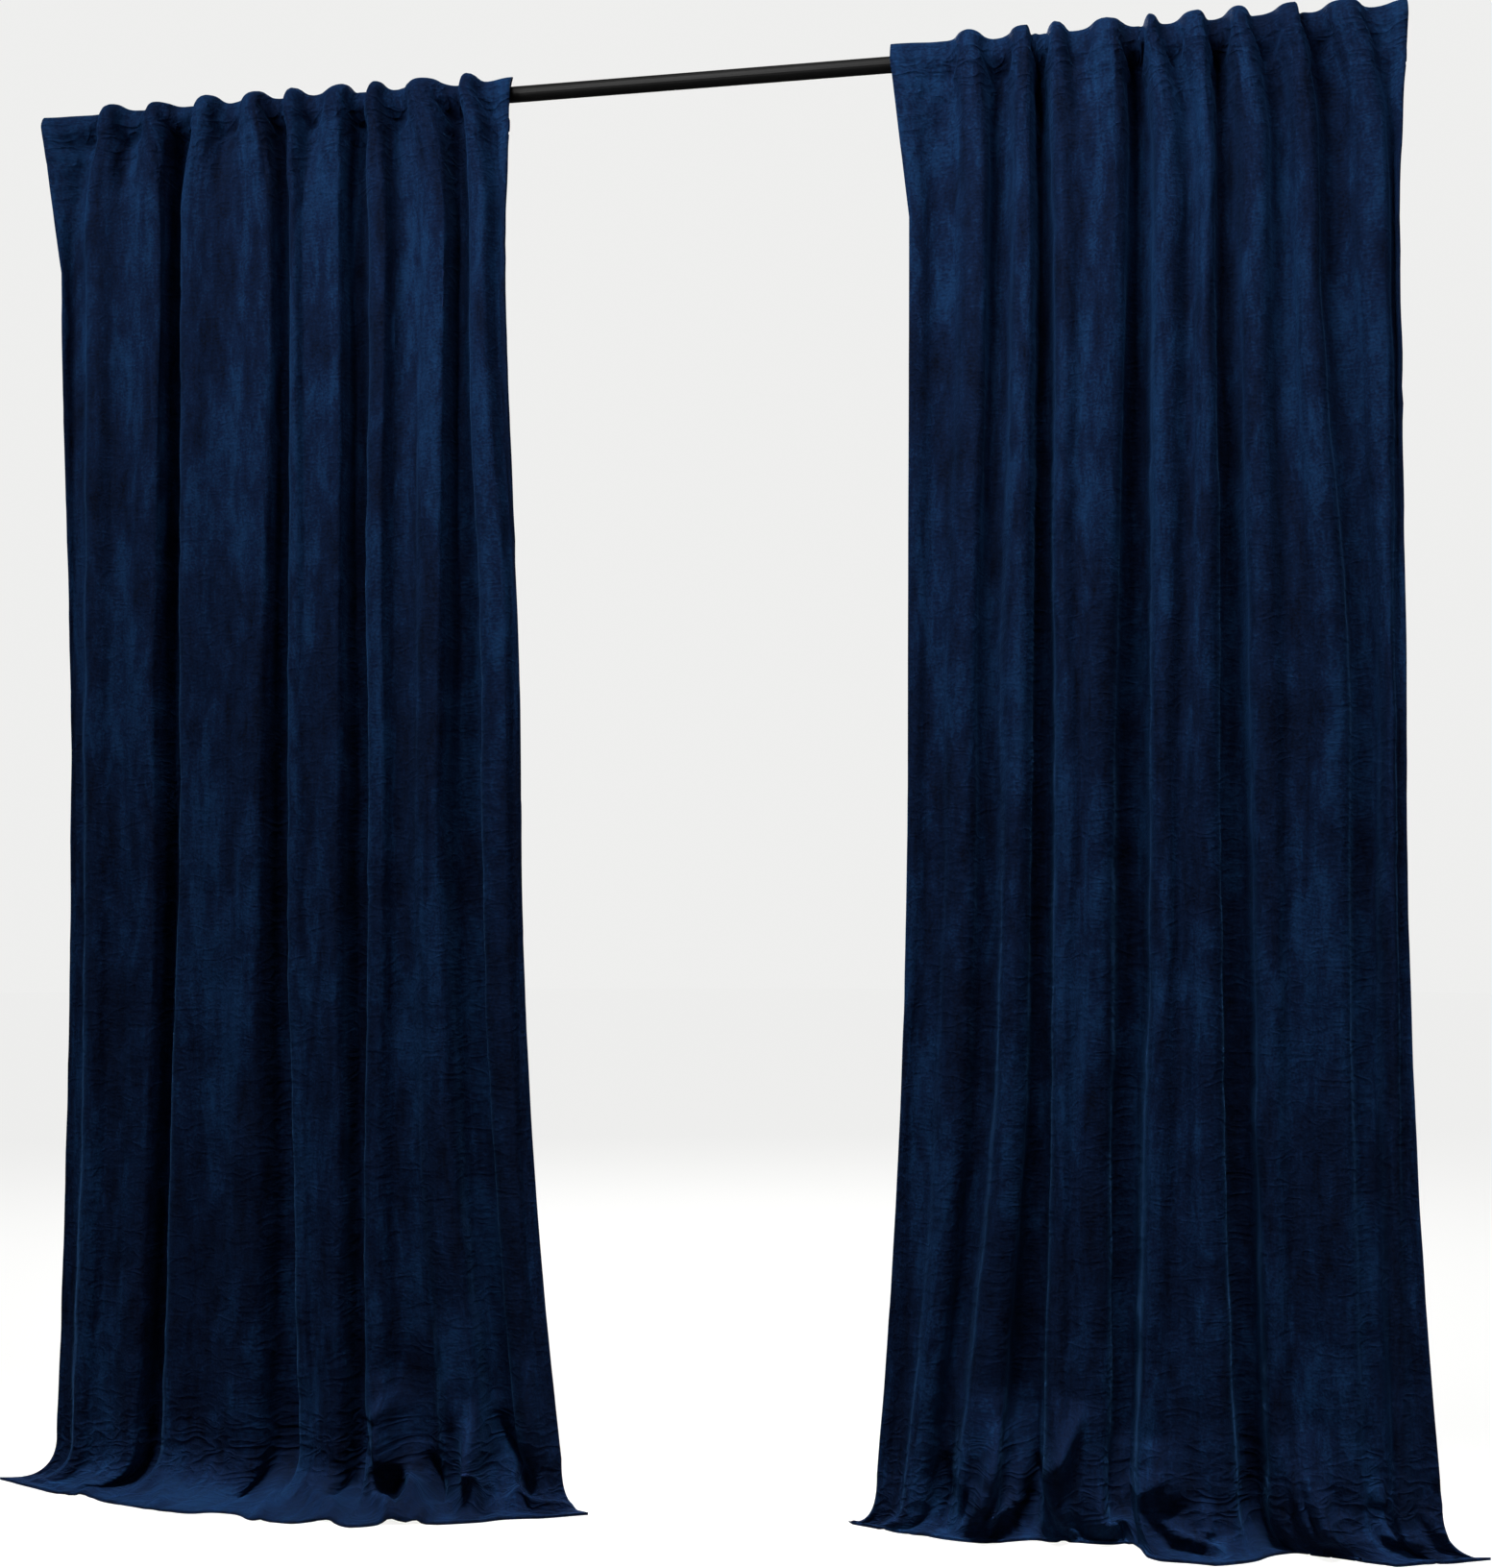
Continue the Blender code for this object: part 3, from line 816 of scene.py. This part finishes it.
def makeReverse():
    # Knitted polyester ground with no pile: flatter, duller and a little paler than the face, with ribs.
    material, shader = newMaterial("polyesterGroundNavy", Roughness=0.9, Specular_IOR_Level=0.1)
    uv = addNode(material, "ShaderNodeUVMap", uv_map="clothMetres").outputs["UV"]
    cloudy = addNode(
        material, "ShaderNodeTexNoise", {"Vector": uv},
        {"Scale": 1 / (ground["cloud"] * mm), "Detail": 4.0},
    ).outputs["Fac"]
    color = addNode(
        material, "ShaderNodeMix", {0: cloudy},
        {6: hexColor(ground["dark"]), 7: hexColor(ground["light"])}, data_type="RGBA",
    ).outputs[2]
    material.node_tree.links.new(color, shader.inputs["Base Color"])
    ribScale = 0.314 / (ground["rib"] * mm)  # one wave of this texture is 0.314 / Scale wide
    ribs = addNode(
        material, "ShaderNodeTexWave", {"Vector": uv},
        {"Scale": ribScale, "Distortion": 1.2, "Detail": 2.0, "Detail Scale": 2.0},
    ).outputs["Fac"]
    ribbed = addNode(
        material, "ShaderNodeBump", {"Height": ribs},
        {"Strength": 0.4, "Distance": ground["ribDepth"] * mm},
    ).outputs["Normal"]
    material.node_tree.links.new(ribbed, shader.inputs["Normal"])
    return material


def makeThread():
    # Spun polyester sewing thread, matt, in the cloth's own colour: the seam is felt more than seen.
    return newMaterial(
        "polyesterThreadNavy", Roughness=0.8, Specular_IOR_Level=0.05, Base_Color=hexColor(seam["color"]),
    )[0]


def buildPanel(panel, face, reverse, thread):
    points, across, down, depth, seamRow = clothSurface(panel)
    sheet = makeSheet(panel["name"], [(points, across, down)], [face, reverse])
    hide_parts(panel["node"])
    hems = makeSheet(panel["name"] + "Hems", hemStrips(points, across, down, depth), [face])
    outwards = surfaceNormals(points)[seamRow]
    stitches = addStitches(panel["name"] + "Stitches", points[seamRow], outwards, thread)
    print("panel", panel["name"], points.shape[:2], "points, flat length", round(float(down[-1]), 3))


face = makeVelvet()
reverse = makeReverse()
thread = makeThread()
print("materials of the cloth made")
for panel in (leftPanel, rightPanel):
    buildPanel(panel, face, reverse, thread)

steel = {
    "color": "#060606",
    "peel": 1.6,            # mm, the coat's faint orange peel
    "peelDepth": 0.1,
}


def makeBlackSteel():
    # Powder coated steel tube: black, satin, with a faint orange peel.
    material, shader = newMaterial(
        "powderCoatedSteel", Base_Color=hexColor(steel["color"]), Roughness=0.5, Specular_IOR_Level=0.12,
    )
    place = addNode(material, "ShaderNodeTexCoord").outputs["Object"]
    peel = addNode(
        material, "ShaderNodeTexNoise", {"Vector": place},
        {"Scale": 1 / (steel["peel"] * mm), "Detail": 1.0},
    ).outputs["Fac"]
    uneven = addNode(
        material, "ShaderNodeBump", {"Height": peel},
        {"Strength": 0.12, "Distance": steel["peelDepth"] * mm},
    ).outputs["Normal"]
    material.node_tree.links.new(uneven, shader.inputs["Normal"])
    return material


rod = frame["nodes"]["curtain_rod"]
rod.data.materials.clear()
rod.data.materials.append(makeBlackSteel())
print("rod coated")

view = {
    "place": (0.671, -3.083, -1.353),
    "turn": 10.43,          # degrees to the left
    "lens": 45.0,
    "shiftUp": 0.0882,
}
camera = bpy.data.objects.new("camera", bpy.data.cameras.new("camera"))
bpy.context.scene.collection.objects.link(camera)
camera.location = view["place"]
camera.rotation_euler = (math.radians(90), 0, math.radians(view["turn"]))
camera.data.lens = view["lens"]
camera.data.shift_y = view["shiftUp"]
bpy.context.scene.camera = camera
print("camera placed")

studio = {
    "pale": "#f4f4f3",
    "floor": "#6e6e6d",
    "floorSeen": 0.933,     # how brightly the floor shows by itself
    "roomSeen": 0.95,       # how bright the room looks
    "roomLight": 0.026,     # how strongly it lights the cloth
}


def addFloor():
    bm = bmesh.new()
    level = Matrix.Translation((0, 0, floorZ - 0.5 * mm))
    bmesh.ops.create_circle(bm, cap_ends=True, radius=25, segments=96, matrix=level)
    mesh = bpy.data.meshes.new("floor")
    bm.to_mesh(mesh)
    bm.free()
    floor = bpy.data.objects.new("floor", mesh)
    bpy.context.scene.collection.objects.link(floor)
    material, shader = newMaterial("paleStudioFloor", Base_Color=hexColor(studio["floor"]), Roughness=0.9)
    shader.inputs["Emission Color"].default_value = hexColor(studio["pale"])
    seen = addNode(material, "ShaderNodeLightPath").outputs["Is Camera Ray"]
    glow = addNode(
        material, "ShaderNodeMapRange", {"Value": seen}, {"To Min": 0.0, "To Max": studio["floorSeen"]},
    ).outputs["Result"]
    material.node_tree.links.new(glow, shader.inputs["Emission Strength"])
    mesh.materials.append(material)


def addRoom():
    # a pale room that lights the cloth only softly
    world = bpy.data.worlds.new("paleStudio")
    bpy.context.scene.world = world
    world.use_nodes = True
    background = world.node_tree.nodes["Background"]
    background.inputs["Color"].default_value = hexColor(studio["pale"])
    seen = addNode(world, "ShaderNodeLightPath").outputs["Is Camera Ray"]
    strength = addNode(
        world, "ShaderNodeMapRange", {"Value": seen},
        {"To Min": studio["roomLight"], "To Max": studio["roomSeen"]},
    ).outputs["Result"]
    world.node_tree.links.new(strength, background.inputs["Strength"])


# Place, target and size in metres, watts, and how wide the light spreads, in degrees.
lights = {
    "keyLight": ((-1.9, -2.0, 0.6), (-0.65, 0, -0.1), (1.2, 0.8), 16, 72),
    "fillLight": ((-0.3, -1.7, 0.8), (0.9, 0, 0.1), (0.8, 0.8), 26, 100),
    "sideLight": ((2.3, -2.0, 0.4), (0.2, 0, 0.1), (1.2, 1.2), 13, 110),
    "topLight": ((0.3, -1.5, 4.4), (0.3, -0.16, -2.3), (3.8, 0.6), 25, 12),  # a beam on the cloth's foot
    "backLight": ((-0.8, 3.0, 1.2), (0, 0, -1.0), (2.6, 1.2), 210, 180),
}


def addSoftbox(name, place, target, size, watts, spread):
    lamp = bpy.data.objects.new(name, bpy.data.lights.new(name, "AREA"))
    bpy.context.scene.collection.objects.link(lamp)
    lamp.data.shape = "RECTANGLE"
    lamp.data.size, lamp.data.size_y = size
    lamp.data.energy = watts
    lamp.data.spread = math.radians(spread)
    lamp.location = place
    lamp.rotation_euler = (Vector(target) - Vector(place)).to_track_quat("-Z", "Y").to_euler()


addFloor()
addRoom()
for name, values in lights.items():
    addSoftbox(name, *values)
bpy.context.scene.view_settings.view_transform = "Standard"
print("floor, room and", len(lights), "lights added")
